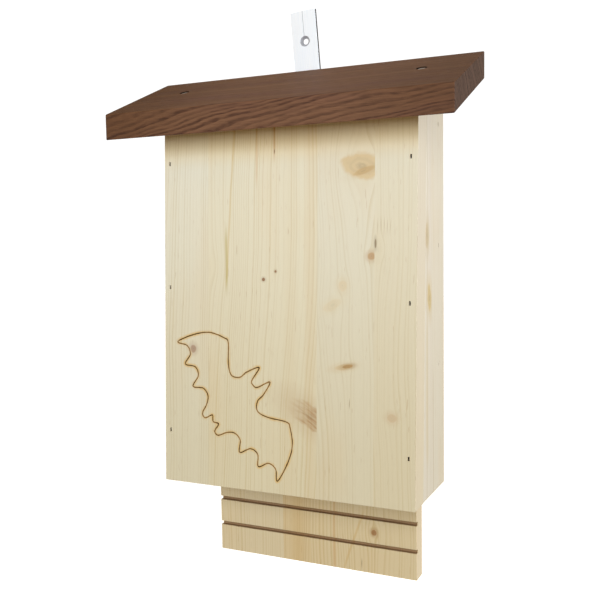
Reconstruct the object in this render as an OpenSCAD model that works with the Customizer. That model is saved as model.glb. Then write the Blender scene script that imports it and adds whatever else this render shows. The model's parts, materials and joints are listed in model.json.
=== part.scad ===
// Flat bat box: a shallow wooden roost that hangs on a wall by a swivelling metal strip.
// +Z is up, +Y points at the wall and +X is to the right, as seen from the front.
// Inside the source, Z = 0 is the box's lower edge, Y = 0 the wall and X = 0 the middle.
// The packed frame has its origin at the wall screw's hole in the strip: see in_frame().

/* [Box] */
// Width over the front board
box_w = 226; // [190:1:280]
// Depth from the wall to the front face, at the lower edge
box_d = 84; // [70:1:110]
// Height of the roof's lower front edge above the box's lower edge
box_h = 294; // [240:1:380]
// Lean of the front board towards the wall, in degrees
front_lean = 2.6; // [0:0.1:4]

/* [Boards] */
// Thickness of the front board
front_t = 22; // [16:1:24]
// Thickness of the two side boards
side_t = 18; // [15:1:22]
// Thickness of the back board
back_t = 16; // [14:1:20]
// Gap between the wall and the back board, where the strip lies
back_recess = 5.5; // [5.5:0.1:8]

/* [Landing board] */
// How far the back board runs down below the box
landing_drop = 82; // [50:1:120]
// Width of a claw groove
groove_w = 3.3; // [2:0.1:5]
// Depth of a claw groove
groove_d = 4; // [2:0.1:6]
// Distance from one claw groove to the next
groove_pitch = 24; // [15:0.5:40]
// Height of the lowest claw groove above the landing board's end
groove_first = 25; // [12:0.5:40]

/* [Roof] */
// Width of the roof board
roof_w = 300; // [290:1:340]
// Thickness of the roof board
roof_t = 20; // [16:1:26]
// Slope of the roof, down to the front, in degrees
roof_slope = 22.3; // [12:0.1:28]
// How far the roof's front face stands out past the front board's foot
roof_eave = 16.5; // [8:0.5:30]
// How far the roof board sits to the right of the middle
roof_shift = -2; // [-6:0.5:6]

/* [Hanger strip] */
// Width of the strip
strip_w = 23.5; // [18:0.5:32]
// Thickness of the strip
strip_t = 3; // [2:0.5:3]
// Distance between the wall screw's hole and the swivel hole
strip_reach = 115; // [95:1:150]
// Distance from each hole to its end of the strip
strip_end = 26; // [16:1:32]
// Height of the swivel screw above the box's lower edge
pivot_z = 265; // [200:1:290]
// Tilt of the strip at rest, its top end to the left, in degrees
strip_tilt = 4.2; // [-30:0.1:30]
// Diameter of the wall screw's hole and of the swivel hole
strip_hole_d = 5; // [4:0.1:6]
// Diameter of the countersink round the wall screw's hole
strip_sink_d = 9; // [8:0.1:9.5]

/* [Screws and brads] */
// Distance of each roof screw from the box's outer face
roof_screw_inset = 5; // [5:0.5:9]
// Distance of the roof screws' heads from the wall
roof_screw_y = 45; // [38:1:50]
// Length of a roof screw
roof_screw_l = 50; // [40:1:60]
// Length of the swivel screw under its head
swivel_screw_l = 16; // [12:1:17]
// Length of a brad
brad_l = 40; // [35:1:45]
// Distance of the front brads from the box's outer faces
brad_inset = 5.5; // [5:0.5:9]
// Height of the lowest front brad on the left, and on the right
brad_low = [44.5, 40.5];
// Distance of the highest front brad below the front board's top, left and right
brad_top = [32.5, 37.5];
// How far the middle front brad stands above half-way, left and right
brad_mid = [9, 4];
// Distance of the highest side brad below the back board's top
side_brad_top = 34.5; // [20:0.5:60]
// How far the side brads stand in front of the back board's middle
side_brad_offset = 2.5; // [0:0.5:4]
// Distance from one side brad to the next
side_brad_pitch = 97; // [60:1:110]

/* [Hidden] */
$fn = 64;

// Colours
spruce = [0.90, 0.85, 0.72];
dark_ash = [0.42, 0.29, 0.21];
aluminium = [0.86, 0.87, 0.88];
zinc = [0.70, 0.70, 0.68];
steel = [0.45, 0.44, 0.42];

// Directions of the two sides
LEFT = -1;
RIGHT = 1;

// Clearances
strip_gap = 0.3;        // between the strip and the boards that it slides over
head_gap = 0.1;         // between the strip and the swivel screw's head
swivel_clearance = 0.05; // radial, round the swivel screw's neck
shank_clearance = 0.2;  // radial, round a roof screw in the roof board

// Slopes
lean = tan(front_lean);
pitch = tan(roof_slope);

// Planes of the box
front_t_level = front_t / cos(front_lean);
roof_front_y = -box_d - roof_eave;
roof_back_y = -back_recess;
roof_t_level = roof_t / cos(roof_slope);
back_front_y = -back_recess - back_t;
chamber_front_y = -box_d + front_t_level;
half_w = box_w / 2;
inner_half_w = half_w - side_t;

// Height of the roof's underside over a distance y from the wall
function underside(y) = box_h + (y - roof_front_y) * pitch;
// Where a face that leans back from (y, 0) meets the roof's underside, as [y, z]
function lean_top_z(y) = underside(y) / (1 - lean * pitch);
function lean_top(y) = [y + lean * lean_top_z(y), lean_top_z(y)];

// Hanger strip
strip_back_y = -back_recess + strip_gap + strip_t;
sink_depth = (strip_sink_d - strip_hole_d) / 2;
hole_wall = strip_t - sink_depth;
wall_hole = [
    -strip_reach * sin(strip_tilt),
    strip_back_y - hole_wall / 2,
    pivot_z + strip_reach * cos(strip_tilt)
];

// Screws
neck_r = strip_hole_d / 2 - swivel_clearance;
swivel_thread_r = 2.2;
swivel_core_r = 1.5;
swivel_head_r = 4.6;
swivel_head_h = 1.9;
swivel_drive_depth = 1;
swivel_neck_in_board = 1;
swivel_neck_l = back_recess + strip_back_y + head_gap + swivel_neck_in_board;
screw_r = 2.25;
screw_core_r = 1.6;
screw_head_r = 4.3;
screw_sunk = 1;
screw_neck_l = roof_t;
thread_pitch = 2;
tip_l = 4;
drive_w = 1;
drive_l = 4.4;
drive_depth = 1.6;

// Brads
brad_w = 1.4;
brad_shank = 1.8;
brad_head = 3.4;
brad_head_t = 1.2;
brad_sunk = 1.4;
brad_tip = 3;

front_top = lean_top(-box_d)[1];
function front_brad_z(side, i) =
    let (k = side == LEFT ? 0 : 1, low = brad_low[k], top = front_top - brad_top[k])
    i == 1 ? low : i == 3 ? top : (low + top) / 2 + brad_mid[k];
function side_brad_z(i) = underside(-back_recess) - side_brad_top - (3 - i) * side_brad_pitch;

// Moves the source's frame to the packed one
module in_frame() {
    translate(-wall_hole) children();
}

// A board cut to an outline in the YZ plane, given as [y, z] points, from x = a to x = b
module board(points, a, b) {
    translate([a, 0, 0])
        rotate([90, 0, 90])
            linear_extrude(b - a) polygon(points);
}

// A crosshead recess, from the head's top down
module drive(depth) {
    for (a = [0, 90])
        rotate([0, 0, a])
            translate([-drive_l / 2, -drive_w / 2, -depth])
                cube([drive_l, drive_w, 2 * depth]);
}

// One side of a thread that runs down from z, as [r, z] points
function thread(core, crest, z, n) = [
    for (i = [0:n - 1])
        each [
            [core, z - i * thread_pitch],
            [crest, z - (i + 0.45) * thread_pitch],
            [crest, z - (i + 0.55) * thread_pitch]
        ]
];

// The threaded half-outline of a screw of length l whose thread starts at -neck_l
function shank(core, crest, neck, neck_l, l) =
    let (n = floor((l - neck_l - tip_l) / thread_pitch))
    concat(
        [[neck, -neck_l]],
        thread(core, crest, -neck_l, n),
        [[core, -neck_l - n * thread_pitch], [core, tip_l - l], [0, -l]]
    );

// Countersunk wood screw, its head's top at the origin and its tip down
module countersunk_screw(l) {
    difference() {
        rotate_extrude()
            polygon(concat(
                [[0, 0], [screw_head_r, 0], [screw_r, screw_r - screw_head_r]],
                shank(screw_core_r, screw_r, screw_r, screw_neck_l, l)
            ));
        drive(drive_depth);
    }
}

// The clearance hole and countersink for that screw, open above and below
module countersunk_hole() {
    rotate_extrude()
        polygon([
            [0, 2 * screw_sunk], [screw_head_r, 2 * screw_sunk], [screw_head_r, 0],
            [screw_r + shank_clearance, screw_r + shank_clearance - screw_head_r],
            [screw_r + shank_clearance, -2 * roof_t], [0, -2 * roof_t]
        ]);
}

// The hole that a screw's core fills in a side board, with its thread cut in it
module core_hole(core, l) {
    translate([0, 0, -l]) cylinder(r1 = 0, r2 = core, h = tip_l);
    translate([0, 0, tip_l - l]) cylinder(r = core, h = l - tip_l);
}

// Puts children at a roof screw's head, with +Z out of the roof
module at_roof_screw(side) {
    translate([
        side * (half_w - roof_screw_inset),
        -roof_screw_y,
        underside(-roof_screw_y) + roof_t_level
    ])
        rotate([roof_slope, 0, 0])
            translate([0, 0, -screw_sunk]) children();
}

// Puts children at the swivel screw, with +Z out towards the wall
module at_swivel_screw() {
    translate([0, strip_back_y + head_gap, pivot_z]) rotate([-90, 0, 0]) children();
}

// T-headed brad: its head's top at the origin, its tip down, the head long along X
module brad() {
    translate([0, brad_w / 2, 0])
        rotate([90, 0, 0])
            linear_extrude(brad_w)
                polygon([
                    [-brad_head / 2, 0], [brad_head / 2, 0],
                    [brad_head / 2, -brad_head_t], [brad_shank / 2, -brad_head_t],
                    [brad_shank / 2, brad_tip - brad_l], [0, -brad_l],
                    [-brad_shank / 2, brad_tip - brad_l], [-brad_shank / 2, -brad_head_t],
                    [-brad_head / 2, -brad_head_t]
                ]);
}

// The brad's own shape and the slot that the nailer leaves above it
module brad_hole() {
    brad();
    translate([-brad_head / 2, -brad_w / 2, 0]) cube([brad_head, brad_w, 2 * brad_sunk]);
}

// Puts children at a front brad, with +Z out of the front face and +X up
module at_front_brad(side, i) {
    z = front_brad_z(side, i);
    translate([side * (half_w - brad_inset), -box_d + lean * z, z])
        rotate([90 - front_lean, 0, 0])
            rotate([0, 0, 90])
                translate([0, 0, -brad_sunk]) children();
}

// Puts children at a side brad, with +Z out of the side and +X up
module at_side_brad(side, i) {
    translate([side * half_w, -back_recess - back_t / 2 - side_brad_offset, side_brad_z(i)])
        rotate([0, side * 90, 0])
            translate([0, 0, -brad_sunk]) children();
}

// Front board: leans back, its lower edge level with the sides' and its top bevelled
module front_board() {
    color(spruce)
        in_frame()
            difference() {
                board(
                    [[-box_d, 0], [chamber_front_y, 0], lean_top(chamber_front_y), lean_top(-box_d)],
                    -half_w, half_w
                );
                for (side = [LEFT, RIGHT], i = [1:3])
                    at_front_brad(side, i) brad_hole();
            }
}

// Side board: stands behind the front board, its rear edge on the wall
module side_board(side) {
    inner = side * inner_half_w;
    outer = side * half_w;
    color(spruce)
        in_frame()
            difference() {
                board(
                    [[0, 0], [0, underside(0)], lean_top(chamber_front_y), [chamber_front_y, 0]],
                    min(inner, outer), max(inner, outer)
                );
                at_roof_screw(side) core_hole(screw_core_r, roof_screw_l);
                for (i = [1:3]) {
                    at_front_brad(side, i) brad_hole();
                    at_side_brad(side, i) brad_hole();
                }
            }
}

// Back board: its lower end is the landing board, and claw grooves run up its front
module back_board() {
    groove_z = [for (z = [groove_first - landing_drop:groove_pitch:box_h - groove_w]) z];
    color(spruce)
        in_frame()
            difference() {
                board(
                    [
                        [back_front_y, -landing_drop], [-back_recess, -landing_drop],
                        [-back_recess, underside(-back_recess)],
                        [back_front_y, underside(back_front_y)]
                    ],
                    -inner_half_w, inner_half_w
                );
                for (z = groove_z)
                    translate([-half_w, back_front_y - groove_d, z - groove_w / 2])
                        cube([box_w, 2 * groove_d, groove_w]);
                at_swivel_screw() {
                    core_hole(swivel_core_r, swivel_screw_l);
                    translate([0, 0, -swivel_neck_l]) cylinder(r = neck_r, h = swivel_neck_l);
                }
                for (side = [LEFT, RIGHT], i = [1:3])
                    at_side_brad(side, i) brad_hole();
            }
}

// Roof board: front and rear faces upright, the rear one in line with the back board's
module roof_board() {
    color(dark_ash)
        in_frame()
            difference() {
                board(
                    [
                        [roof_front_y, underside(roof_front_y)],
                        [roof_back_y, underside(roof_back_y)],
                        [roof_back_y, underside(roof_back_y) + roof_t_level],
                        [roof_front_y, underside(roof_front_y) + roof_t_level]
                    ],
                    roof_shift - roof_w / 2, roof_shift + roof_w / 2
                );
                for (side = [LEFT, RIGHT])
                    at_roof_screw(side) countersunk_hole();
            }
}

module roof_screw(side) {
    color(zinc) in_frame() at_roof_screw(side) countersunk_screw(roof_screw_l);
}

module front_brad(side, i) {
    color(steel) in_frame() at_front_brad(side, i) brad();
}

module side_brad(side, i) {
    color(steel) in_frame() at_side_brad(side, i) brad();
}

// Hanger strip: flat bar with a countersunk hole for the wall and a plain one to swivel on
module hanger_strip() {
    color(aluminium)
        in_frame()
            translate([0, strip_back_y, pivot_z])
                rotate([0, -strip_tilt, 0])
                    difference() {
                        translate([-strip_w / 2, -strip_t, -strip_end])
                            cube([strip_w, strip_t, strip_reach + 2 * strip_end]);
                        rotate([90, 0, 0])
                            translate([0, 0, -strip_t])
                                cylinder(d = strip_hole_d, h = 3 * strip_t);
                        translate([0, 0, strip_reach])
                            rotate([90, 0, 0]) {
                                translate([0, 0, -strip_t])
                                    cylinder(d = strip_hole_d, h = 3 * strip_t);
                                translate([0, 0, hole_wall])
                                    cylinder(d1 = strip_hole_d, d2 = strip_sink_d, h = sink_depth);
                            }
                    }
}

// Swivel screw: domed head outside the strip, a plain neck in it and a thread in the board
module swivel_screw() {
    dome = [
        for (a = [0:15:90])
            [swivel_head_r * sin(a), swivel_head_h * (0.4 + 0.6 * cos(a))]
    ];
    color(zinc)
        in_frame()
            at_swivel_screw()
                difference() {
                    rotate_extrude()
                        polygon(concat(
                            dome,
                            [[swivel_head_r, 0], [neck_r, 0]],
                            shank(swivel_core_r, swivel_thread_r, neck_r, swivel_neck_l, swivel_screw_l)
                        ));
                    translate([0, 0, swivel_head_h]) drive(swivel_drive_depth);
                }
}

front_board();
side_board(LEFT);  // side_board_left
side_board(RIGHT);  // side_board_right
back_board();
roof_board();
roof_screw(LEFT);  // roof_screw_left
roof_screw(RIGHT);  // roof_screw_right
front_brad(LEFT, 1);  // front_brad_left_1
front_brad(LEFT, 2);  // front_brad_left_2
front_brad(LEFT, 3);  // front_brad_left_3
front_brad(RIGHT, 1);  // front_brad_right_1
front_brad(RIGHT, 2);  // front_brad_right_2
front_brad(RIGHT, 3);  // front_brad_right_3
side_brad(LEFT, 1);  // side_brad_left_1
side_brad(LEFT, 2);  // side_brad_left_2
side_brad(LEFT, 3);  // side_brad_left_3
side_brad(RIGHT, 1);  // side_brad_right_1
side_brad(RIGHT, 2);  // side_brad_right_2
side_brad(RIGHT, 3);  // side_brad_right_3
hanger_strip();
swivel_screw();
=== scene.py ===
# %% [markdown]
# # A flat bat box, finished in Blender
# The box is five boards held by brads and two screws, and it hangs from a metal strip that
# swivels behind it. Its solids come from CAD as fixed nodes, in metres, with the origin at
# the wall screw's hole. Blender adds what the solids lack: softened arrises, the outline
# that is burned into the front, and a finish for every surface.

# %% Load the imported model
import json
import math

import bmesh
import bpy
from mathutils import Matrix, Vector
from mathutils.kdtree import KDTree


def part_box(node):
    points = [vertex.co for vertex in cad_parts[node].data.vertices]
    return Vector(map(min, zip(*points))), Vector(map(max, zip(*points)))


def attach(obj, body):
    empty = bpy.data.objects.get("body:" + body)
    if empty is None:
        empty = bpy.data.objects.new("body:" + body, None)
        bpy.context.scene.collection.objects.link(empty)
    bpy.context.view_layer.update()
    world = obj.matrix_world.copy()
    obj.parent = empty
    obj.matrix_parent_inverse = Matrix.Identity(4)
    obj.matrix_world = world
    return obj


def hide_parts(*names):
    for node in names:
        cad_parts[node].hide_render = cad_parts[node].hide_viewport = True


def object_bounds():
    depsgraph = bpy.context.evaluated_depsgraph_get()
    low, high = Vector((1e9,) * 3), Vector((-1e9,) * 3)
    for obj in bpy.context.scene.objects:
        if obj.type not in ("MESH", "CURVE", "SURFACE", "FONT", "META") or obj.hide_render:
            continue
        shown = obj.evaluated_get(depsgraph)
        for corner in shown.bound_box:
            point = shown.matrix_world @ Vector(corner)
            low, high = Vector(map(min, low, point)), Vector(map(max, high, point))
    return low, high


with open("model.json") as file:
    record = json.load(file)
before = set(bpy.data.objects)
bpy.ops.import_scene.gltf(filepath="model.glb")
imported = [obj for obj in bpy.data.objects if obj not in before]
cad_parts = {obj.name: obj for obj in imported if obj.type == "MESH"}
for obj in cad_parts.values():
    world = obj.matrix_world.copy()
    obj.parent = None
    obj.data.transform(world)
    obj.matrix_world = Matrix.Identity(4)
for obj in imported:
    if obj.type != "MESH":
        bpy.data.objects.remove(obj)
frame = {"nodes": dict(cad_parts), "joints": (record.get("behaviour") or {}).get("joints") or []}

cad_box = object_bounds()

# %% [markdown]
# ## Where things are
# Every place is worked out from the CAD nodes. The wood's figure is easiest to describe in
# millimetres from the box itself: across from its middle, up from its lower edge and out
# from the wall. One point gives all three, and the materials use it too.

# %% Find the box's own starting point
MM = 0.001
front_low, front_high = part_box("front_board")
side_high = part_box("side_board_right")[1]
back_low, back_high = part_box("back_board")
roof_low, roof_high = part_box("roof_board")
start = Vector(((front_low.x + front_high.x) / 2, side_high.y, front_low.z))
pivot = Vector(frame["joints"][0]["pos_m"])
strip_tilt = math.atan2(pivot.x, -pivot.z)
print("box starts at", [round(v, 4) for v in start], "strip tilt", round(strip_tilt, 4))

# %% [markdown]
# ## The camera
# It stands to the right of the box, a little above its middle, and looks slightly down, so
# that the front, the right side and the top of the roof all show.

# %% Place the camera
LENS = 48.807
SENSOR = 36.0
YAW = math.radians(25.007)
PITCH = math.radians(-4.663)
ROLL = math.radians(-0.952)
EYE_FROM_START = Vector((290.769, -665.577, 212.564)) * MM
NEAREST = 0.01
FARTHEST = 50.0

level_ahead = Vector((-math.sin(YAW), math.cos(YAW), 0.0))
ahead = level_ahead * math.cos(PITCH) + Vector((0.0, 0.0, math.sin(PITCH)))
level = Vector((math.cos(YAW), math.sin(YAW), 0.0))
upward = level.cross(ahead)
right = level * math.cos(ROLL) + upward * math.sin(ROLL)
up = upward * math.cos(ROLL) - level * math.sin(ROLL)

eye = bpy.data.cameras.new("camera")
eye.lens = LENS
eye.sensor_width = SENSOR
eye.clip_start = NEAREST
eye.clip_end = FARTHEST
camera = bpy.data.objects.new("camera", eye)
bpy.context.scene.collection.objects.link(camera)
turn = Matrix((right, up, -ahead)).transposed()
camera.matrix_world = Matrix.Translation(start + EYE_FROM_START) @ turn.to_4x4()
bpy.context.scene.camera = camera
print("camera at", [round(v, 3) for v in camera.location])

# %% [markdown]
# ## The stage and the light
# The floor is plain and pale. It lies well below the box, as the box hangs. The light is a
# broad soft source in front, weaker ones at both sides, above and behind, and an even sky.
# The floor and the sky glow white to the eye, but throw little light themselves, so that
# the eave keeps its shadow.

# %% The floor
FLOOR_DROP = 1.0
FLOOR_SIZE = 30.0
bpy.ops.object.select_all(action="DESELECT")
bpy.ops.mesh.primitive_plane_add(
    size=FLOOR_SIZE,
    location=(0.0, 0.0, back_low.z - FLOOR_DROP),
)
floor = bpy.context.active_object
floor.name = "floor"
floor.visible_diffuse = False
print("floor at", round(back_low.z - FLOOR_DROP, 3))

# %% The lamps
aim = (Vector(cad_box[0]) + Vector(cad_box[1])) / 2
COOL_WHITE = (1.0, 1.088, 1.235)
WHITE = (1.0, 1.0, 1.0)

# The direction from the box, then distance, width, height, watts and colour
LAMPS = {
    "key_light": ((0.25, -1.0, 0.27), 2.2, 1.3, 1.3, 38.7, COOL_WHITE),
    "side_light": ((1.0, 0.12, 0.0), 2.0, 0.7, 1.0, 22.5, COOL_WHITE),
    "roof_light": ((0.0, 0.25, 1.0), 2.2, 1.4, 1.4, 12.0, WHITE),
    "rear_light": ((-0.35, 1.0, 0.2), 2.4, 1.4, 1.4, 22.0, WHITE),
    "left_light": ((-1.0, 0.4, 0.1), 2.4, 0.7, 0.7, 9.0, WHITE),
}


def soft_light(name, direction, distance, width, height, power, shade):
    """Adds a rectangular lamp that faces the box from a direction."""
    lamp = bpy.data.lights.new(name, "AREA")
    lamp.shape = "RECTANGLE"
    lamp.size = width
    lamp.size_y = height
    lamp.energy = power
    lamp.color = shade
    holder = bpy.data.objects.new(name, lamp)
    bpy.context.scene.collection.objects.link(holder)
    outward = Vector(direction).normalized()
    turned = (-outward).to_track_quat("-Z", "Y").to_matrix().to_4x4()
    holder.matrix_world = Matrix.Translation(aim + outward * distance) @ turned


for name, (direction, distance, width, height, power, shade) in LAMPS.items():
    soft_light(name, direction, distance, width, height, power, shade)
    print(name, power, "W")

bpy.context.scene.view_settings.view_transform = "Standard"

# %% [markdown]
# ## Shader sums as Python
# A material is a net of nodes. Written as sums it can be read: this class wraps one socket,
# and each operator adds the Math node for it. Any other node comes from one method, which
# sets the node's settings first and then its sockets.


# %% A socket that can be reckoned with
class Wire:
    """A socket of a shader, on which Python's operators add Math nodes."""

    def __init__(self, tree, socket=None):
        self.tree = tree
        self.socket = socket

    def node(self, kind, settings=None, sockets=None, output=0):
        made = self.tree.nodes.new("ShaderNode" + kind)
        for key, value in (settings or {}).items():
            setattr(made, key, value)
        for key, value in (sockets or {}).items():
            if isinstance(value, Wire):
                self.tree.links.new(value.socket, made.inputs[key])
            else:
                made.inputs[key].default_value = value
        return None if output is None else Wire(self.tree, made.outputs[output])

    def math(self, operation, *values):
        return self.node("Math", {"operation": operation}, dict(enumerate(values)))

    def __add__(self, other):
        return self.math("ADD", self, other)

    def __radd__(self, other):
        return self.math("ADD", other, self)

    def __sub__(self, other):
        return self.math("SUBTRACT", self, other)

    def __rsub__(self, other):
        return self.math("SUBTRACT", other, self)

    def __mul__(self, other):
        return self.math("MULTIPLY", self, other)

    def __truediv__(self, other):
        return self.math("DIVIDE", self, other)

    def __pow__(self, other):
        return self.math("POWER", self, other)

    def __abs__(self):
        return self.math("ABSOLUTE", self)

    def __gt__(self, other):
        return self.math("GREATER_THAN", self, other)

    def fade(self, nothing, full):
        """0 where the value is at nothing, 1 where it is at full, and smooth between."""
        limits = {"Value": self, "From Min": nothing, "From Max": full}
        return self.node("MapRange", {"interpolation_type": "SMOOTHSTEP"}, limits)


# %% Small helpers on top of it
def tone(red, green, blue):
    """A display colour, 0 to 255, as the linear colour that nodes want (the sRGB curve)."""
    linear = []
    for part in (red, green, blue):
        share = part / 255
        low = share <= 0.04045
        linear.append(share / 12.92 if low else ((share + 0.055) / 1.055) ** 2.4)
    return (*linear, 1.0)


def lay_over(under, over, share):
    """One colour over another, by a share that may change over the surface."""
    return share.node("Mix", {"data_type": "RGBA"}, {0: share, 6: under, 7: over}, 2)


def scaled(colour, amount):
    """A colour made lighter or darker by a number that may change over the surface."""
    plain = colour if isinstance(colour, Wire) else colour[:3]
    return amount.node("VectorMath", {"operation": "SCALE"}, {0: plain, "Scale": amount})


def tinted(colour, tint, share):
    """A colour multiplied by a tint, by a share that may change over the surface."""
    settings = {"data_type": "RGBA", "blend_type": "MULTIPLY"}
    return share.node("Mix", settings, {0: share, 6: colour, 7: tint}, 2)


def noise(x, y, z, detail=2.0, roughness=0.5):
    """Smooth random values, about 0.5, in a space whose axes are stretched at will."""
    place = x.node("CombineXYZ", {}, {0: x, 1: y, 2: z})
    inputs = {"Vector": place, "Scale": 1.0, "Detail": detail, "Roughness": roughness}
    return x.node("TexNoise", {"noise_dimensions": "3D"}, inputs)


def noise_along(place, detail=0.0):
    """Smooth random values, about 0.5, along a single number."""
    inputs = {"W": place, "Scale": 1.0, "Detail": detail}
    return place.node("TexNoise", {"noise_dimensions": "1D"}, inputs)


def split(vector):
    """The three parts of a vector socket."""
    outputs = vector.node("SeparateXYZ", {}, {0: vector}).socket.node.outputs
    return [Wire(vector.tree, outputs[axis]) for axis in range(3)]


# %% Starting and closing a material
def new_material(name):
    """An empty material, and its tree as a Wire."""
    material = bpy.data.materials.new(name)
    material.use_nodes = True
    material.node_tree.nodes.clear()
    return material, Wire(material.node_tree)


def millimetres(blank, move=(0.0, 0.0, 0.0), turn=(0.0, 0.0, 0.0)):
    """The place on the object in millimetres, turned and moved, as x, y and z."""
    sockets = {
        "Vector": blank.node("TexCoord", output="Object"),
        "Location": move,
        "Rotation": turn,
        "Scale": (1 / MM, 1 / MM, 1 / MM),
    }
    return split(blank.node("Mapping", {"vector_type": "POINT"}, sockets))


BOX_START = -start / MM


def facing(blank, axis):
    """How squarely a face looks along an axis, either way, from 0 to 1."""
    return abs(split(blank.node("TexCoord", output="Normal"))[axis])


def close_material(blank, colour, roughness, height=None, depth=0.1 * MM, constants=None):
    """Adds the surface shader: colour, roughness and the height that its bump comes from."""
    sockets = {"Base Color": colour, "Roughness": roughness, **(constants or {})}
    if height is not None:
        relief = {"Strength": 1.0, "Distance": depth, "Height": height}
        sockets["Normal"] = blank.node("Bump", {}, relief)
    surface = blank.node("BsdfPrincipled", {}, sockets)
    blank.node("OutputMaterial", {}, {"Surface": surface}, None)


# %% The floor's paint and the sky
FLOOR_GLOW = {"Emission Color": (1.0, 1.0, 1.0, 1.0), "Emission Strength": 0.9}
floor_paint, blank = new_material("pale_floor")
x, y, z = millimetres(blank, BOX_START)
speckle = noise(x * 0.02, y * 0.02, z * 0.02)
floor_tone = scaled(tone(244, 244, 242), speckle * 0.02 + 0.99)
close_material(blank, floor_tone, 0.6, constants=FLOOR_GLOW)
floor.data.materials.append(floor_paint)

SKY_LIGHT = (0.34, 0.262, 0.160, 1.0)
SKY_SEEN = (1.1, 1.1, 1.1, 1.0)
sky = bpy.data.worlds.new("studio")
sky.use_nodes = True
sky.node_tree.nodes.clear()
blank = Wire(sky.node_tree)
seen = blank.node("LightPath", output="Is Camera Ray")
sky_glow = blank.node("Background", {}, {"Color": lay_over(SKY_LIGHT, SKY_SEEN, seen)})
blank.node("OutputWorld", {}, {"Surface": sky_glow}, None)
bpy.context.scene.world = sky
print("floor and sky done")

# %% [markdown]
# ## Spruce
# Spruce panels are glued from staves. Each stave was cut somewhere else in a log, so each
# has its own heart, ring width and tone. A picture of wood laid on the faces would be quick,
# but its lines would break at every edge. Here the wood is a field in space, and all faces
# of a board cut the same field, so end grain and edges agree with the front.
#
# A board is described by plain records first: its staves, its knots and its streaks, in
# millimetres across the board and up from the box's lower edge.


# %% Staves, knots and streaks as plain records
def stave(edge, heart, lean, ring, lines, pale, late):
    """A stave: its right edge, its heart across and through, and its rings and tones."""
    return {
        "edge": edge, "heart": heart, "lean": lean, "ring": ring,
        "lines": lines, "pale": pale, "late": late,
    }


def knot(across, along, size, tint, strength, staves, tilt=0.0, swirl=0.0, halo=0.25,
         broom=False):
    """A knot: its place, half sizes, colour, how strong it is and the staves it is in."""
    return {
        "across": across, "along": along, "size": size, "tint": tint, "strength": strength,
        "staves": staves, "tilt": tilt, "swirl": swirl, "halo": halo, "broom": broom,
    }


def streak(across, along, slope, width, ends, tint, strength):
    """A resin streak: a point on it, its slope, width, its two ends and its colour."""
    return {
        "across": across, "along": along, "slope": slope, "width": width,
        "ends": ends, "tint": tint, "strength": strength,
    }


# %% What changes from stave to stave
def stave_steps(across, staves):
    """For each glue line, 1 to the right of it and 0 to the left."""
    return [across > s["edge"] for s in staves[:-1]]


def stave_value(steps, values):
    """A number that changes from stave to stave."""
    total = values[0]
    for step, before, after in zip(steps, values, values[1:]):
        if after != before:
            total = step * (after - before) + total
    return total


def stave_colour(steps, colours):
    """A colour that changes from stave to stave."""
    total = colours[0]
    for step, after in zip(steps, colours[1:]):
        total = lay_over(total, after, step)
    return total


def in_staves(value, steps, wanted):
    """The value inside the wanted staves, which are neighbours, and 0 elsewhere."""
    first, last = wanted[0], wanted[-1]
    if first > 0:
        value = value * steps[first - 1]
    if last < len(steps):
        value = value * (1 - steps[last])
    return value


# %% [markdown]
# ### Year rings
# A ring is a cylinder round the stave's heart: pale early wood that darkens slowly and ends
# in a thin hard line. The distance from the heart, counted in rings, gives a sawtooth, and
# each ring gets its own strength. Slow noise makes the rings wander as they climb.
#
# The rings part and flow round a knot as water round a post, which is a known formula: the
# distance across is shrunk by R squared over the distance squared. A small rest is added
# below the line, so that nothing jumps at the knot's middle.


# %% The year rings, bent round the knots
ALONG_SHARE = 0.62
CALM = 0.8
SWAY = 16.0
RIPPLE = 2.2
DARKENS = (0.35, 0.94)
ENDS = (1.0, 0.95)


def year_rings(across, through, z, seeds, ripple, steps, staves, knots):
    """1 on the hard line that ends a ring, and 0 in the pale wood between."""
    sway = noise(across * 0.012, through * 0.012, z * 0.0045 + seeds, 1.0)
    wander = sway * SWAY + ripple * RIPPLE - (SWAY + RIPPLE) / 2
    heart_across = stave_value(steps, [s["heart"][0] for s in staves])
    heart_through = stave_value(steps, [s["heart"][1] for s in staves])
    lean = stave_value(steps, [s["lean"] for s in staves])
    u = across - heart_across - z * lean + wander
    for k in knots:
        if k["swirl"]:
            beside = across - k["across"]
            over = (z - k["along"]) * ALONG_SHARE
            reach = k["swirl"] ** 2
            apart = beside * beside + over * over + reach * CALM
            u = u - in_staves(beside * reach / apart, steps, k["staves"])
    w = through - heart_through
    ring_width = stave_value(steps, [s["ring"] for s in staves])
    r = (u * u + w * w) ** 0.5 / ring_width
    r = r + noise_along(r * 0.13 + seeds, 1.0) * 3.0
    phase = r.math("FRACT", r)
    own = noise_along(r.math("FLOOR", r) * 1.37 + seeds)
    return phase.fade(*DARKENS) * phase.fade(*ENDS) * own.fade(0.25, 0.7)


# %% [markdown]
# ### Streaks and knots
# A resin streak is a thin line along the grain that fades out at both ends. A knot is the
# foot of a branch, cut across: an oval with rings and a darker heart of its own, a ragged
# rim and a faint glow of resin round it. Where a branch was sawn lengthwise it shows as a
# broom of dark hairs, which is noise stretched along the branch.


# %% Streaks
SOFT_END = 20


def with_streaks(colour, across, z, ripple, streaks):
    """The colour with its resin streaks, which waver with the rings."""
    for s in streaks:
        rise = z - s["along"]
        away = abs(across - s["across"] - rise * s["slope"] + ripple * 3.0 - 1.5)
        low, high = s["ends"]
        soft = min(SOFT_END, (high - low) / 2)
        length = z.fade(low, low + soft) * z.fade(high, high - soft)
        shown = away.fade(s["width"], s["width"] * 0.2) * length * s["strength"]
        colour = lay_over(colour, s["tint"], shown)
    return colour


# %% Knots
RAGGED = 0.5
KNOT_RIM = (1.08, 0.72)
KNOT_GLOW = (2.3, 0.9)
KNOT_RINGS = 15.0
HEART_SHADE = 0.66


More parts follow.
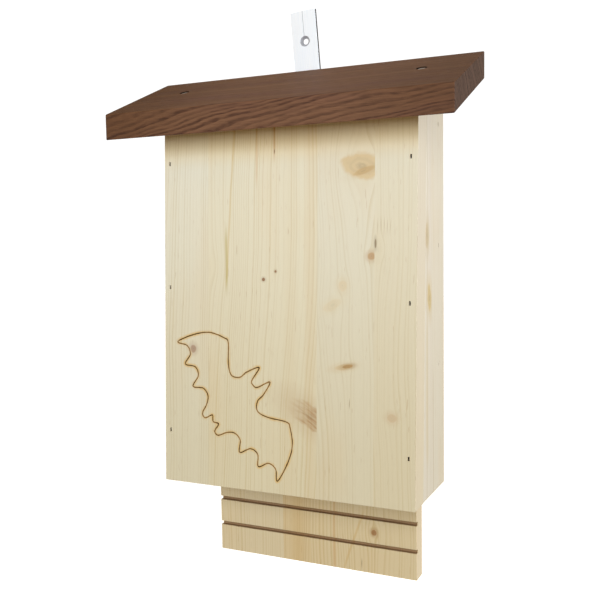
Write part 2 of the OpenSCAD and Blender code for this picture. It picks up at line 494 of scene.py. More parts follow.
def with_knots(colour, across, through, z, steps, knots):
    """The colour with its knots: a soft glow round each, and rings and a heart inside."""
    bumpy = noise(across * 0.16, through * 0.16, z * 0.16, 2.0)
    for k in knots:
        beside = across - k["across"]
        over = z - k["along"]
        cosine, sine = math.cos(k["tilt"]), math.sin(k["tilt"])
        wide, tall = k["size"]
        long_way = (beside * cosine + over * sine) / wide
        short_way = (over * cosine - beside * sine) / tall
        out = (long_way * long_way + short_way * short_way) ** 0.5
        out = out + bumpy * RAGGED - RAGGED / 2
        inside = in_staves(out.fade(*KNOT_RIM), steps, k["staves"])
        if k["broom"]:
            hairs = noise(long_way * 1.6, short_way * 4.5, 0.0, 3.0).fade(0.38, 0.66)
            inside = inside * (hairs * 0.5 + 0.4) * long_way.fade(-1.2, 0.5)
        rings = out.math("SINE", out * KNOT_RINGS) * 0.5 + 0.5
        heart = [part * HEART_SHADE for part in k["tint"][:3]] + [1.0]
        darker = rings * out.fade(1.0, 0.1) * 0.45 + out.fade(0.45, 0.0) * 0.3
        core = lay_over(k["tint"], heart, darker)
        glow = in_staves(out.fade(*KNOT_GLOW) * k["halo"], steps, k["staves"])
        colour = lay_over(colour, k["tint"], glow)
        colour = lay_over(colour, core, inside * k["strength"])
    return colour


# %% [markdown]
# ### What tools leave behind, and painted shade
# The hot tip chars the wood in its groove and scorches a wider, uneven edge. The finish
# reads how far it is from the outline from a number that the mesh carries, which is made
# further down. Shade is painted inside a saw cut: darker than the planed face, all the more
# when deep. Under the eave the front board gets a painted warm shade.


# %% Burn marks, and painted shade under the eave
# Painted shade under the eave: its warm tint and the heights it spans.
EAVE_SHADE_TINT = (0.98, 0.86, 0.66, 1.0)
EAVE_SHADE_REACH = (265, 291)
SCORCH = (2.8, 0.5)
BROWNED = (1.2, 0.4)
CHARRED = (0.80, 0.46)


def with_burn_and_eave_shade(colour, blank, x, y, z, edge_on):
    """The front board's colour, with painted warm shade under the eave, and scorched round the
    outline.
    """
    # Painted shade: the front is tinted warmer and darker just under the eave.
    colour = tinted(colour, EAVE_SHADE_TINT, z.fade(*EAVE_SHADE_REACH) * (1 - edge_on))
    far = blank.node("Attribute", {"attribute_name": "from_burn"}, output="Fac")
    smoke = noise(x * 0.12, y * 0.12, z * 0.12, 2.0)
    scorch = far.fade(*SCORCH) * smoke.fade(0.3, 0.7) * 0.7 + far.fade(*BROWNED) * 0.25
    colour = lay_over(colour, tone(204, 164, 86), scorch)
    char = lay_over(tone(150, 112, 56), tone(56, 38, 20), smoke.fade(0.36, 0.62))
    return lay_over(colour, char, (far + smoke * 0.3).fade(*CHARRED))


# %% Painted shade in the saw cuts
def with_kerf_shade(colour, across, through, kerfs):
    """The back board's colour, with painted shade inside its saw cuts but not at its edges."""
    deep = (through - kerfs["face"]).fade(0.1, 1.0) * (through - kerfs["floor"]).fade(0.6, 0.3)
    deep = deep * abs(across).fade(kerfs["edge"] - 0.2, kerfs["edge"] - 0.8)
    # Painted shade: the insides of the saw cuts are darkened.
    return lay_over(colour, tone(128, 88, 50), deep * 0.78)


# %% [markdown]
# ### The whole board
# The layers go on in the order in which they came about: rings, fibres and resin canals,
# streaks, knots, then the plainer sawn edges and end grain, and a tint that darkens and
# yellows the board towards its foot: painted shade, and on the front partly the wood's own
# tone. Gloss and relief come from the same fibres and rings.


# %% One board of spruce
SEED_STEP = 7.3
BOX_HEIGHT = 300
SQUARE_ON = (0.6, 0.9)


def spruce(name, turned, staves, knots, streaks, foot, seed, burn_and_eave_shade=False, kerfs=None):
    """A spruce material. Its staves lie side by side along x, or along y if turned.
    Towards the lower edge it is tinted by the foot tint: painted shade, and on the front
    partly the wood's own yellowing."""
    material, blank = new_material(name)
    x, y, z = millimetres(blank, BOX_START)
    across, through = (y, x) if turned else (x, y)
    steps = stave_steps(across, staves)
    seeds = stave_value(steps, [seed + SEED_STEP * i for i in range(len(staves))])
    ripple = noise(across * 0.05, through * 0.05, z * 0.016 + seeds, 1.0)
    late = year_rings(across, through, z, seeds, ripple, steps, staves, knots)

    fibre = noise(across * 1.9, through * 1.9, z * 0.035 + seeds, 3.0, 0.6)
    canal = noise(across * 1.1, through * 1.1, z * 0.055 - seeds, 1.0).fade(0.69, 0.78)
    cloud = noise(across * 0.022, through * 0.022, z * 0.006 - seeds, 2.0)

    pale = stave_colour(steps, [s["pale"] for s in staves])
    dark = stave_colour(steps, [s["late"] for s in staves])
    lines = stave_value(steps, [s["lines"] for s in staves])
    colour = lay_over(pale, dark, late * lines * (cloud.fade(0.2, 0.8) * 0.7 + 0.65))
    colour = scaled(colour, fibre * 0.10 + 0.95)
    colour = lay_over(colour, tone(222, 196, 150), cloud.fade(0.5, 0.85) * 0.28)
    colour = lay_over(colour, tone(176, 136, 84), canal * 0.30)
    colour = with_streaks(colour, across, z, ripple, streaks)
    colour = with_knots(colour, across, through, z, steps, knots)

    edge_on = facing(blank, 1 if turned else 0).fade(*SQUARE_ON)
    end_on = facing(blank, 2).fade(*SQUARE_ON)
    colour = lay_over(colour, tone(226, 215, 196), edge_on * 0.55)
    colour = lay_over(colour, tone(204, 178, 130), end_on * 0.35)
    # Painted shade towards the foot, darker and warmer; on the front partly the wood's own tone.
    colour = tinted(colour, foot, z.fade(BOX_HEIGHT, 0))
    if burn_and_eave_shade:
        colour = with_burn_and_eave_shade(colour, blank, x, y, z, edge_on)
    if kerfs:
        colour = with_kerf_shade(colour, across, through, kerfs)

    roughness = fibre * 0.14 + 0.50 + late * 0.05
    height = fibre * 0.35 + late * 0.25 - canal * 0.5
    close_material(blank, colour, roughness, height, 0.12 * MM, {"Specular IOR Level": 0.25})
    print(name + ":", len(material.node_tree.nodes), "nodes")
    return material


# %% [markdown]
# ## The front board's finish
# Four staves. The third has a large cut knot near its top, and small ones below it. Pin
# knots, resin streaks and a branch sawn lengthwise are in the second. Random knots would be
# less work, but a real panel is known by its own, so each is listed.

# %% The front board's staves, knots and streaks
LAST = 999
FRONT_STAVES = [
    stave(-69, (-420, 40), 0.004, 2.4, 0.44, tone(226, 221, 199), tone(203, 190, 152)),
    stave(31, (-330, 30), 0.012, 2.1, 0.44, tone(226, 219, 193), tone(200, 180, 132)),
    stave(79, (330, 10), -0.01, 2.6, 0.30, tone(223, 217, 194), tone(198, 182, 142)),
    stave(LAST, (420, 60), 0.006, 2.3, 0.32, tone(222, 214, 188), tone(196, 178, 132)),
]
UMBER = tone(138, 92, 52)
GREY_PINK = tone(170, 138, 116)
HONEY = tone(202, 172, 98)
RESIN = tone(190, 138, 66)
FRONT_KNOTS = [
    knot(69, 264, (19, 11.5), tone(212, 188, 142), 0.85, [2], -0.16, 17, 0.10),
    knot(70, 260.0, (10, 2.6), tone(192, 158, 106), 0.55, [2], 0.32, 0, 0.10),
    knot(76.6, 194.5, (3.4, 3.0), tone(184, 142, 92), 0.62, [2], 0.0, 5, 0.3),
    knot(79.8, 204, (0.9, 3.8), tone(104, 78, 50), 0.8, [2, 3], 0.0, 0, 0.25),
    knot(82, 200, (4, 14), tone(216, 202, 166), 0.2, [3], 0.0, 6, 0.05),
    knot(52.7, 171.6, (4, 4.5), tone(218, 192, 144), 0.32, [2], 0.0, 4, 0.15),
    knot(44, 156, (9, 4), tone(218, 196, 150), 0.26, [2], 0.5, 6, 0.1),
    knot(57.2, 108.3, (4.6, 1.5), tone(150, 110, 60), 0.85, [2], 0.2, 3, 0.4),
    knot(54.0, 107.6, (8, 2.6), tone(206, 176, 122), 0.35, [2], 0.2, 0, 0.2),
    knot(24, 67, (24, 9.5), tone(170, 124, 68), 0.9, [1], -0.5, 0, 0.14, True),
    knot(-16.9, 175.7, (1.5, 1.5), UMBER, 0.85, [1], 0.0, 2, 0.22),
    knot(-5.9, 182.3, (1.0, 1.1), UMBER, 0.8, [1], 0.0, 2, 0.2),
    knot(-84.3, 116.2, (3.2, 3.6), GREY_PINK, 0.75, [0], 0.0, 3, 0.28),
    knot(-70, 186, (6, 9), tone(222, 206, 168), 0.1, [1], 0.0, 8, 0.1),
    knot(94, 70.5, (4, 3.4), tone(196, 160, 118), 0.3, [3], 0.0, 3, 0.2),
]
FRONT_STREAKS = [
    streak(-7, 290, 0.0, 1.3, (266, 400), RESIN, 0.6),
    streak(-7, 279, 0.0, 0.7, (276, 282), tone(112, 80, 44), 0.8),
    streak(-23, 290, 0.01, 1.3, (245, 400), tone(206, 166, 106), 0.4),
    streak(-45, 290, 0.06, 1.4, (165, 400), HONEY, 0.4),
    streak(-52, 185, -0.01, 1.8, (158, 225), tone(190, 172, 104), 0.6),
    streak(8, 150, 0.0, 9.0, (-90, 400), tone(214, 190, 144), 0.12),
    streak(25, 150, 0.0, 7.0, (-90, 400), tone(210, 182, 134), 0.20),
    streak(59, 79, 0.0, 0.5, (73, 85), tone(140, 112, 76), 0.6),
    streak(81.5, 216, 0.0, 0.5, (208, 226), tone(168, 140, 92), 0.4),
    streak(84.0, 217, 0.0, 0.5, (209, 227), tone(168, 140, 92), 0.4),
    streak(86.5, 217, 0.02, 0.5, (209, 227), tone(168, 140, 92), 0.4),
    streak(89.0, 217, 0.04, 0.5, (208, 226), tone(168, 140, 92), 0.35),
    streak(91.5, 217, 0.08, 0.5, (208, 226), tone(168, 140, 92), 0.3),
]
print("front:", len(FRONT_STAVES), "staves,", len(FRONT_KNOTS), "knots")

# %% Front spruce
# Towards its foot the front is darker and yellower: partly painted shade, partly the wood's own
# tone.
FRONT_FOOT_TONE_AND_SHADE = (0.83, 0.79, 0.69, 1.0)
front_spruce = spruce(
    "front_spruce", False, FRONT_STAVES, FRONT_KNOTS, FRONT_STREAKS, FRONT_FOOT_TONE_AND_SHADE, 3.1,
    burn_and_eave_shade=True,
)

# %% [markdown]
# ## The side boards' and the back board's finish
# The sides are a little greyer and calmer, with a glue line along the middle, and their
# staves lie side by side from front to back. The back board shows below the box, where it
# has a darker band and one knot. Both are made by the same steps as the front, with other
# staves, so that all the boards look like one kind of wood.

# %% Side spruce
SIDE_STAVES = [
    stave(-36, (-300, 500), 0.004, 2.4, 0.40, tone(226, 218, 200), tone(202, 186, 152)),
    stave(LAST, (260, 420), -0.006, 2.9, 0.36, tone(224, 216, 196), tone(204, 190, 154)),
]
SIDE_KNOTS = [
    knot(-49.0, 209.5, (4.5, 11), tone(202, 182, 142), 0.7, [0], 0.0, 6, 0.3),
    knot(-43.0, 160.5, (5.5, 12), tone(210, 186, 128), 0.75, [0], 0.1, 6, 0.3),
]
SIDE_STREAKS = [
    streak(-33, 60, 0.0, 1.1, (-20, 110), tone(190, 166, 122), 0.55),
    streak(-50, 80, 0.0, 5.0, (20, 150), tone(216, 200, 158), 0.4),
]
# Painted shade: the sides grow darker towards their foot.
SIDE_FOOT_SHADE = (0.80, 0.79, 0.75, 1.0)
side_spruce = spruce(
    "side_spruce", True, SIDE_STAVES, SIDE_KNOTS, SIDE_STREAKS, SIDE_FOOT_SHADE, 11.7
)

# %% Back spruce
BACK_STAVES = [
    stave(-30, (-380, 60), 0.0, 2.5, 0.45, tone(222, 212, 184), tone(196, 176, 128)),
    stave(-3, (60, -60), 0.05, 2.2, 0.5, tone(219, 204, 168), tone(190, 160, 108)),
    stave(LAST, (300, 20), -0.02, 2.8, 0.5, tone(220, 208, 176), tone(196, 174, 124)),
]
BACK_KNOTS = [
    knot(57, -45.5, (2.6, 2.8), tone(158, 116, 72), 0.85, [2], 0.0, 6, 0.35),
]
BACK_STREAKS = [
    streak(20, -30, 0.0, 1.8, (-120, 30), tone(196, 152, 88), 0.45),
    streak(-16, -60, 0.0, 9.0, (-120, 60), tone(206, 176, 120), 0.3),
    streak(35.6, -61, 0.36, 1.6, (-90, -20), tone(206, 174, 112), 0.45),
    streak(45.5, -76, 0.0, 0.5, (-81, -68), tone(120, 92, 58), 0.8),
]
# Painted shadow: the back board is darker and warmer below the box, where the box shades it.
BACK_FOOT_SHADE = (0.86, 0.80, 0.68, 1.0)
KERF_DEPTH = 4.0
BACK_KERFS = {
    "face": (back_low.y - start.y) / MM,
    "floor": (back_low.y - start.y) / MM + KERF_DEPTH,
    "edge": (back_high.x - back_low.x) / 2 / MM,
}
back_spruce = spruce(
    "back_spruce", False, BACK_STAVES, BACK_KNOTS, BACK_STREAKS, BACK_FOOT_SHADE, 23.9,
    kerfs=BACK_KERFS,
)

# %% [markdown]
# ## The roof's finish
# The roof is ash that was baked dark. Its rings stand across the board, so that the sloping
# top shows fine straight lines, the upright front shows long slanting flames, and the ends
# show the rings themselves. Early wood is porous: its pores are dark dashes along the grain.
# The field is laid along the roof's own slope, which is worked out from the board's box and
# the height of its upright front edge.


# %% The roof's slope, and the painted shade in its screws' bores
ROOF_EDGE = 21.6 * MM
ROOF_SLOPE = math.atan2(roof_high.z - roof_low.z - ROOF_EDGE, roof_high.y - roof_low.y)
SCREW_HEAD_RADIUS = 4.3
print("roof slope", round(math.degrees(ROOF_SLOPE), 1), "degrees")


def with_bore_shade(colour, x, y):
    """The roof's colour, with painted shade in the bores over its two screws."""
    for screw in ("roof_screw_left", "roof_screw_right"):
        low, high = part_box(screw)
        head_x = ((low.x + high.x) / 2 - start.x) / MM
        head_y = (low.y - start.y) / MM + SCREW_HEAD_RADIUS * math.cos(ROOF_SLOPE)
        beside = x - head_x
        behind = (y - head_y) / math.cos(ROOF_SLOPE)
        bore = (beside * beside + behind * behind) ** 0.5
        inside = bore.fade(SCREW_HEAD_RADIUS + 0.3, SCREW_HEAD_RADIUS)
        # Painted shade: the bore walls round each screw head are darkened.
        colour = lay_over(colour, tone(30, 20, 15), inside * 0.85)
    return colour


# %% Dark ash
ASH_RING = 2.6
ASH_TILT = 0.32
FLAME_REACH = (45, 5)
END_SHADE = (0.74, 0.69, 0.60, 1.0)
END_SHADE_REACH = (40, 150)


def ash():
    """The heat-treated ash of the roof board."""
    material, blank = new_material("dark_ash")
    x, y, z = millimetres(blank, BOX_START)
    back_from_front = y - (roof_low.y - start.y) / MM
    above_foot = z - (roof_low.z - start.z) / MM
    cosine, sine = math.cos(ROOF_SLOPE), math.sin(ROOF_SLOPE)
    up_slope = back_from_front * cosine + above_foot * sine
    through = above_foot * cosine - back_from_front * sine

    sway = noise(x * 0.008, up_slope * 0.02, through * 0.02, 1.0)
    ripple = noise(x * 0.03, up_slope * 0.07, through * 0.07, 2.0)
    flame = up_slope.fade(*FLAME_REACH) * 0.11
    u = up_slope + through * ASH_TILT - x * flame + sway * 14 + ripple * 3.0
    r = u / ASH_RING + noise_along(u * 0.06, 1.0) * 3.0
    phase = r.math("FRACT", r)
    own = noise_along(r.math("FLOOR", r) * 1.7)
    broken = noise(x * 0.11, u * 0.42, through * 0.3, 1.0).fade(0.25, 0.6) * 0.6 + 0.4
    early = phase.fade(0.0, 0.12) * phase.fade(0.75, 0.3) * own.fade(0.2, 0.65) * broken

    fibre = noise(x * 0.03, up_slope * 1.3, through * 1.3, 3.0, 0.62)
    strokes = noise(x * 0.07, u * 0.9, through * 0.35, 2.0, 0.6)
    pore = noise(x * 0.10, up_slope * 2.6, through * 2.6, 1.0).fade(0.56, 0.66)
    pore = pore * (early * 0.8 + 0.2)
    cloud = noise(x * 0.007, up_slope * 0.05, through * 0.05, 2.0)

    colour = lay_over(tone(114, 80, 56), tone(70, 43, 29), early * 0.8)
    colour = lay_over(colour, tone(92, 60, 52), cloud.fade(0.42, 0.75) * 0.5)
    colour = scaled(colour, fibre * 0.7 + strokes * 0.6 + 0.34)
    colour = tinted(colour, END_SHADE, abs(x).fade(*END_SHADE_REACH))
    colour = lay_over(colour, tone(46, 29, 20), pore * 0.5)
    cut_end = lay_over(tone(88, 68, 58), tone(16, 11, 9), early)
    cut_end = scaled(cut_end, fibre * 0.3 + 0.85)
    colour = lay_over(colour, cut_end, facing(blank, 0).fade(*SQUARE_ON) * 0.85)
    colour = with_bore_shade(colour, x, y)
    roughness = 0.6 + fibre * 0.12
    height = fibre * 0.4 - pore * 0.8 - early * 0.35
    close_material(blank, colour, roughness, height, 0.16 * MM, {"Specular IOR Level": 0.16})
    return material


dark_ash = ash()
print("dark_ash:", len(dark_ash.node_tree.nodes), "nodes")

# %% [markdown]
# ## The metals
# The strip is rolled aluminium, white in soft light, with fine lines along its length, a
# scribed line above the hole and darker sheared edges. Its pattern is turned to lie along
# the tilted strip. The screws are zinc plated, with a patchy passivated sheen. The brads are
# plain dull steel, sunk in the wood. All of these shapes are right as the CAD has them, so
# they keep their CAD meshes.


# %% Aluminium
STRIP_SINK = 4.5


def aluminium():
    """The hanger strip's rolled and brushed aluminium."""
    material, blank = new_material("strip_aluminium")
    x, y, z = millimetres(blank, turn=(0.0, strip_tilt, 0.0))
    brushed = noise(x * 7.0, y * 7.0, z * 0.05, 3.0, 0.6)
    patch = noise(x * 0.08, y * 0.08, z * 0.03, 2.0)
    sheared = facing(blank, 1).fade(0.75, 0.45)
    scribed = abs(x + 0.4).fade(0.30, 0.14) * z.fade(STRIP_SINK - 0.1, STRIP_SINK + 0.1)
    bore = ((x * x + z * z) ** 0.5).fade(STRIP_SINK + 0.2, STRIP_SINK - 0.1)
    colour = lay_over(tone(252, 255, 255), tone(236, 243, 248), brushed.fade(0.35, 0.75))
    colour = lay_over(colour, tone(240, 247, 252), patch.fade(0.4, 0.8) * 0.5)
    colour = lay_over(colour, tone(84, 86, 90), sheared)
    colour = lay_over(colour, tone(164, 166, 172), bore * 0.85)
    colour = lay_over(colour, tone(130, 132, 138), scribed * 0.8)
    roughness = brushed * 0.18 + 0.30 + patch * 0.06
    height = brushed * 0.3 - scribed
    close_material(blank, colour, roughness, height, 0.02 * MM, {"Metallic": 0.3})
    return material


# %% Zinc and steel
def zinc():
    """The screws' zinc plating."""
    material, blank = new_material("zinc_plate")
    x, y, z = millimetres(blank, BOX_START)
    patch = noise(x * 0.5, y * 0.5, z * 0.5, 3.0, 0.6)
    grit = noise(x * 4.0, y * 4.0, z * 4.0, 2.0)
    colour = lay_over(tone(208, 200, 186), tone(166, 158, 146), patch.fade(0.35, 0.7))
    colour = lay_over(colour, tone(206, 188, 152), patch.fade(0.6, 0.8) * 0.3)
    close_material(blank, colour, grit * 0.2 + 0.3, grit, 0.02 * MM, {"Metallic": 0.5})
    return material


def steel():
    """The brads' dull steel."""
    material, blank = new_material("brad_steel")
    x, y, z = millimetres(blank, BOX_START)
    patch = noise(x * 0.9, y * 0.9, z * 0.9, 2.0)
    colour = lay_over(tone(38, 28, 18), tone(18, 12, 8), patch.fade(0.35, 0.7))
    roughness = patch * 0.3 + 0.5
    close_material(blank, colour, roughness, patch, 0.03 * MM, {"Specular IOR Level": 0.2})
    return material


# %% Give the metal nodes their finish
metals = {"hanger_strip": aluminium()}
zinc_plate = zinc()
brad_steel = steel()
for node in frame["nodes"]:
    if "screw" in node:
        metals[node] = zinc_plate
    if "brad" in node:
        metals[node] = brad_steel

for node, metal in metals.items():
    piece = frame["nodes"][node]
    if not piece.material_slots:
        piece.data.materials.append(None)
    for place in piece.material_slots:
        place.material = metal
print("metal nodes:", len(metals))

# %% [markdown]
# ## Boards with softened arrises
# A planed board never has a knife edge: a stroke of sandpaper breaks it. A board could be
# modelled anew from a cube, but then its size would be typed twice. Instead the CAD solid
# is copied, its loose triangles are merged into whole faces, and only the long arrises are
# bevelled, so that the small slots over the brads stay crisp. Weighted normals keep the
# large faces flat in the light.


# %% Copying a CAD node
SAME_POINT = 0.002 * MM
FLAT = math.radians(0.3)


def pick_only(piece):
    """Selects one piece and makes it the active one."""
    bpy.ops.object.select_all(action="DESELECT")
    piece.select_set(True)
    bpy.context.view_layer.objects.active = piece


def merged_copy(node, name):
    """A copy of a CAD node as a mesh of whole faces."""
    piece = bpy.data.objects.new(name, frame["nodes"][node].data.copy())
    bpy.context.scene.collection.objects.link(piece)
    pick_only(piece)
    bpy.ops.object.mode_set(mode="EDIT")
    bpy.ops.mesh.select_all(action="SELECT")
    bpy.ops.mesh.customdata_custom_splitnormals_clear()
    bpy.ops.mesh.remove_doubles(threshold=SAME_POINT)
    bpy.ops.mesh.select_all(action="SELECT")
    bpy.ops.mesh.dissolve_limited(angle_limit=FLAT)
    bpy.ops.object.mode_set(mode="OBJECT")
    return piece


# %% Softening and smoothing a board
LONG_ARRIS = 18 * MM
BEND = math.radians(25)
SMOOTH_UNDER = math.radians(40)
ROUNDING = 3


def soften(piece, width):
    """Bevels the long outer arrises of a board."""
    pick_only(piece)
    bpy.ops.object.mode_set(mode="EDIT")
    bpy.ops.mesh.select_mode(type="EDGE")
    bpy.ops.mesh.select_all(action="DESELECT")
    shape = bmesh.from_edit_mesh(piece.data)
    for edge in shape.edges:
        if edge.is_manifold and edge.calc_length() > LONG_ARRIS:
            edge.select_set(edge.is_convex and edge.calc_face_angle() > BEND)
    bmesh.update_edit_mesh(piece.data)
    bpy.ops.mesh.bevel(offset=width, segments=ROUNDING, affect="EDGES", clamp_overlap=True)
    bpy.ops.object.mode_set(mode="OBJECT")


def smooth_faces(piece):
    """Smooth arrises between flat faces."""
    pick_only(piece)
    bpy.ops.object.shade_smooth_by_angle(angle=SMOOTH_UNDER)
    even = piece.modifiers.new("even", "WEIGHTED_NORMAL")
    even.keep_sharp = True
    bpy.ops.object.modifier_apply(modifier=even.name)


def hand_over(piece, node, finish):
    """Gives a piece its finish and its body, and hides the CAD node that it stands for."""
    piece.data.materials.clear()
    piece.data.materials.append(finish)
    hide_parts(node)
    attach(piece, "box")
    print(piece.name, len(piece.data.polygons), "faces")


# %% Sides, back and roof
SPRUCE_ARRIS = 0.5 * MM
ASH_ARRIS = 0.9 * MM
BOARDS = [
    ("side_board_left", "side_panel_left", SPRUCE_ARRIS, side_spruce, "side_spruce"),
    ("side_board_right", "side_panel_right", SPRUCE_ARRIS, side_spruce, "side_spruce"),
    ("back_board", "back_panel", SPRUCE_ARRIS, back_spruce, "back_spruce"),
    ("roof_board", "roof_panel", ASH_ARRIS, dark_ash, "dark_ash"),
]
for node, name, arris, finish, slot_name in BOARDS:
    board = merged_copy(node, name)
    soften(board, arris)
    smooth_faces(board)
    hand_over(board, node, finish)

# %% [markdown]
# ## The burned outline
# A hot tip draws a plain bat on the front: a groove a little under a millimetre wide, dark
# inside, with a scorched edge. Paint alone would do from afar, but a real groove catches
# the light and is there in the mesh. So a round cutter is swept along the outline and taken
# out of the board with a boolean. The outline is drawn once for one wing and mirrored, and a
# smooth curve runs through its points.

# %% The bat's outline
HALF_BAT = [
    (0, 24), (4, 26), (8, 39), (12.5, 27), (13.5, 18), (20, 12.5), (30, 17), (44, 29),
    (50, 28.5), (63, 20), (72, 6), (78, -12), (69, -6.5), (61, -9), (57.5, -19),
    (49, -12.5), (41, -15), (37, -26), (29, -18.5), (21, -19), (16, -25), (12.5, -34),
    (7.5, -34.5), (5, -27), (0, -30),
]
BAT_MIDDLE = (-43.5, 73.5)
BAT_TURN = math.radians(-49)
BAT_SIZE = 0.94
STEPS = 8
FINE_STEPS = 48


def through_points(points, steps):
    """A closed smooth line through points, as many short steps."""
    line = []
    count = len(points)
    for i in range(count):
        p = [Vector(points[(i + k) % count]) for k in (-1, 0, 1, 2)]
        for step in range(steps):
            t = step / steps
            bend = 0.5 * (p[2] - p[0]) * t
            bend += (p[0] - 2.5 * p[1] + 2 * p[2] - 0.5 * p[3]) * t * t
            bend += 0.5 * (3 * p[1] - p[0] - 3 * p[2] + p[3]) * t ** 3
            line.append(p[1] + bend)
    return line


both_wings = HALF_BAT + [(-s, t) for s, t in reversed(HALF_BAT[1:-1])]
cosine = BAT_SIZE * math.cos(BAT_TURN)
sine = BAT_SIZE * math.sin(BAT_TURN)
placed = [
    (BAT_MIDDLE[0] + s * cosine - t * sine, BAT_MIDDLE[1] + s * sine + t * cosine)
    for s, t in both_wings
]
outline = through_points(placed, STEPS)
leftmost, rightmost = min(p.x for p in outline), max(p.x for p in outline)
lowest, highest = min(p.y for p in outline), max(p.y for p in outline)
print("outline across", round(leftmost), round(rightmost), "up", round(lowest), round(highest))

# %% [markdown]
# The cut needs a fine face to land on, because the scorch fades over two millimetres and
# its depth of colour is kept on the mesh's own points. So a rectangle of the front face is
# cut free, a fine grid takes its place, and the rim between them is filled. A finer mesh all
# over would do the same, with far more faces where nothing happens.

# %% The front board and its leaning face
front_panel = merged_copy("front_board", "front_panel")
soften(front_panel, SPRUCE_ARRIS)

face = max(front_panel.data.polygons, key=lambda f: f.area * (f.normal.y < -0.9))
lean_normal = face.normal.copy()
lean_point = front_panel.data.vertices[face.vertices[0]].co.copy()
print("front leans", round(math.degrees(math.asin(lean_normal.z)), 2), "degrees")


def on_front(across, up_from_foot):
    """The point of the front face at a place in the box's millimetres."""
    spot = Vector((start.x + across * MM, 0.0, start.z + up_from_foot * MM))
    spot.y = lean_point.y
    spot.y -= (spot - lean_point).dot(lean_normal) / lean_normal.y
    return spot


# %% Open a rectangle in the face
LEFT_MARGIN = 3.5
MARGIN = 5
ABOVE_ARRIS = 1.5
SAME_WAY = 0.999
FIELD_ACROSS = (leftmost - LEFT_MARGIN, rightmost + MARGIN)
FIELD_UP = (max(lowest - MARGIN, ABOVE_ARRIS), highest + MARGIN)

pick_only(front_panel)
bpy.ops.object.mode_set(mode="EDIT")
for across in FIELD_ACROSS:
    bpy.ops.mesh.select_all(action="SELECT")
    bpy.ops.mesh.bisect(plane_co=on_front(across, 0), plane_no=(1, 0, 0))
for raised in FIELD_UP:
    bpy.ops.mesh.select_all(action="SELECT")
    bpy.ops.mesh.bisect(plane_co=on_front(0, raised), plane_no=(0, 0, 1))
bpy.ops.mesh.select_mode(type="FACE")
bpy.ops.mesh.select_all(action="DESELECT")
shape = bmesh.from_edit_mesh(front_panel.data)
low = on_front(FIELD_ACROSS[0], FIELD_UP[0])
high = on_front(FIELD_ACROSS[1], FIELD_UP[1])
for side in shape.faces:
    middle = side.calc_center_median()
    within = low.x < middle.x < high.x and low.z < middle.z < high.z
    side.select_set(within and side.normal.dot(lean_normal) > SAME_WAY)
bmesh.update_edit_mesh(front_panel.data)
bpy.ops.mesh.delete(type="FACE")
bpy.ops.object.mode_set(mode="OBJECT")
print("opening", [round(v) for v in FIELD_ACROSS], [round(v) for v in FIELD_UP])

# %% Add the fine grid
RIM = 0.8
CELL = 0.9
wide = FIELD_ACROSS[1] - FIELD_ACROSS[0] - 2 * RIM
tall = FIELD_UP[1] - FIELD_UP[0] - 2 * RIM
tall_on_slope = tall / math.sqrt(1 - lean_normal.z ** 2)
bpy.ops.object.select_all(action="DESELECT")
bpy.ops.mesh.primitive_grid_add(
    x_subdivisions=round(wide / CELL),
    y_subdivisions=round(tall / CELL),
    size=1.0,
)
fine = bpy.context.active_object
centre = on_front(sum(FIELD_ACROSS) / 2, sum(FIELD_UP) / 2)
rise = Vector((0.0, -lean_normal.z, lean_normal.y))
rise = rise if rise.z > 0 else -rise
axes = Matrix((Vector((1, 0, 0)), rise, lean_normal)).transposed().to_4x4()
stretch = Matrix.Diagonal((wide * MM, tall_on_slope * MM, 1.0, 1.0))
fine.data.transform(Matrix.Translation(centre) @ axes @ stretch)
fine.matrix_world = Matrix.Identity(4)
print("grid:", len(fine.data.polygons), "faces")

# %% Join it and fill the rim
fine.select_set(True)
front_panel.select_set(True)
bpy.context.view_layer.objects.active = front_panel
bpy.ops.object.join()
bpy.ops.object.mode_set(mode="EDIT")
bpy.ops.mesh.select_mode(type="EDGE")
bpy.ops.mesh.select_all(action="DESELECT")
shape = bmesh.from_edit_mesh(front_panel.data)
for edge in shape.edges:
    edge.select_set(edge.is_boundary)
bmesh.update_edit_mesh(front_panel.data)
bpy.ops.mesh.fill(use_beauty=True)
bpy.ops.mesh.select_all(action="SELECT")
bpy.ops.mesh.normals_make_consistent(inside=False)
bpy.ops.object.mode_set(mode="OBJECT")
shape = bmesh.new()
shape.from_mesh(front_panel.data)
open_edges = sum(not edge.is_manifold for edge in shape.edges)
print("front panel:", len(shape.faces), "faces, open edges:", open_edges)
shape.free()

# %% [markdown]
# The cutter is a curve with a round section, made into a closed mesh. Half of it lies in
# the wood, so it leaves a half-round groove.

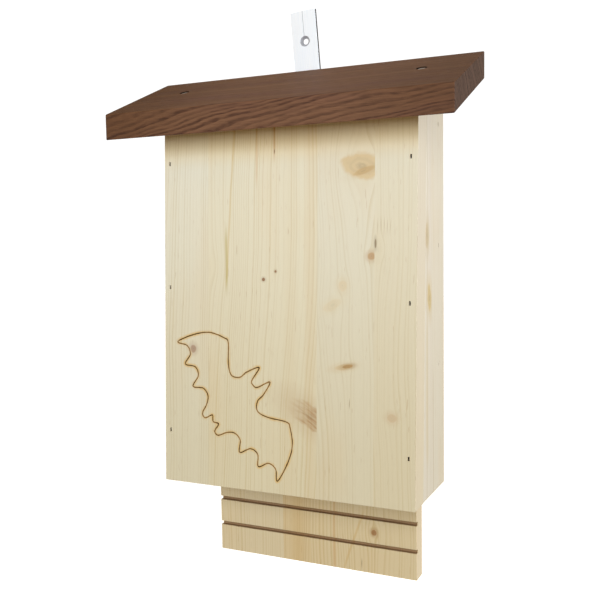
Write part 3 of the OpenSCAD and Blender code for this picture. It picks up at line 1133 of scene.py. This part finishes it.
# %% Sweep the cutter along the outline
GROOVE_RADIUS = 0.4 * MM
path = bpy.data.curves.new("cutter", "CURVE")
path.dimensions = "3D"
path.bevel_depth = GROOVE_RADIUS
path.bevel_resolution = 2
line = path.splines.new("POLY")
line.points.add(len(outline) - 1)
for point, spot in zip(line.points, outline):
    point.co = (*on_front(spot.x, spot.y), 1.0)
line.use_cyclic_u = True
cutter = bpy.data.objects.new("cutter", path)
bpy.context.scene.collection.objects.link(cutter)
pick_only(cutter)
bpy.ops.object.convert(target="MESH")
cutter = bpy.context.active_object
bpy.ops.object.mode_set(mode="EDIT")
bpy.ops.mesh.select_all(action="SELECT")
bpy.ops.mesh.remove_doubles(threshold=SAME_POINT)
bpy.ops.mesh.normals_make_consistent(inside=False)
bpy.ops.object.mode_set(mode="OBJECT")
print("cutter:", len(cutter.data.polygons), "faces")

# %% Take the cutter out of the board
pick_only(front_panel)
cut = front_panel.modifiers.new("burned_groove", "BOOLEAN")
cut.operation = "DIFFERENCE"
cut.solver = "MANIFOLD"
cut.object = cutter
bpy.ops.object.modifier_apply(modifier=cut.name)
bpy.data.objects.remove(cutter)
print("front panel after the cut:", len(front_panel.data.polygons), "faces")

# %% [markdown]
# A material can't know where the outline is. So each point of the mesh is told how far it
# is from the outline, in millimetres, as an attribute that the finish reads.

# %% Keep how far each point is from the burn
FAR = 5.0
SKIN = 1.5
samples = through_points(placed, FINE_STEPS)
tree = KDTree(len(samples))
for i, spot in enumerate(samples):
    tree.insert((spot.x, spot.y, 0.0), i)
tree.balance()
distances = []
for vertex in front_panel.data.vertices:
    across = (vertex.co.x - start.x) / MM
    raised = (vertex.co.z - start.z) / MM
    inner = (vertex.co - lean_point).dot(lean_normal) / MM < -SKIN
    distances.append(FAR if inner else min(FAR, tree.find((across, raised, 0.0))[2]))
kept = front_panel.data.attributes.new("from_burn", "FLOAT", "POINT")
kept.data.foreach_set("value", distances)
print("points near the burn:", sum(far < 1.0 for far in distances))

# %% Finish the front board
smooth_faces(front_panel)
hand_over(front_panel, "front_board", front_spruce)

# %% [markdown]
# ## The hanger strip
# The strip keeps its CAD mesh, and isn't copied, because nothing in its shape is missing.
# One modifier joins its loose triangles, and one breaks its sheared edges very slightly, so
# that they catch the light.

# %% Break the strip's edges
STRIP_EDGE = 0.16 * MM
strip = frame["nodes"]["hanger_strip"]
weld = strip.modifiers.new("weld", "WELD")
weld.merge_threshold = SAME_POINT
broken = strip.modifiers.new("broken_edges", "BEVEL")
broken.width = STRIP_EDGE
broken.segments = 2
broken.limit_method = "ANGLE"
broken.angle_limit = SMOOTH_UNDER
broken.harden_normals = False
print("strip edges broken by", round(STRIP_EDGE / MM, 2), "mm")
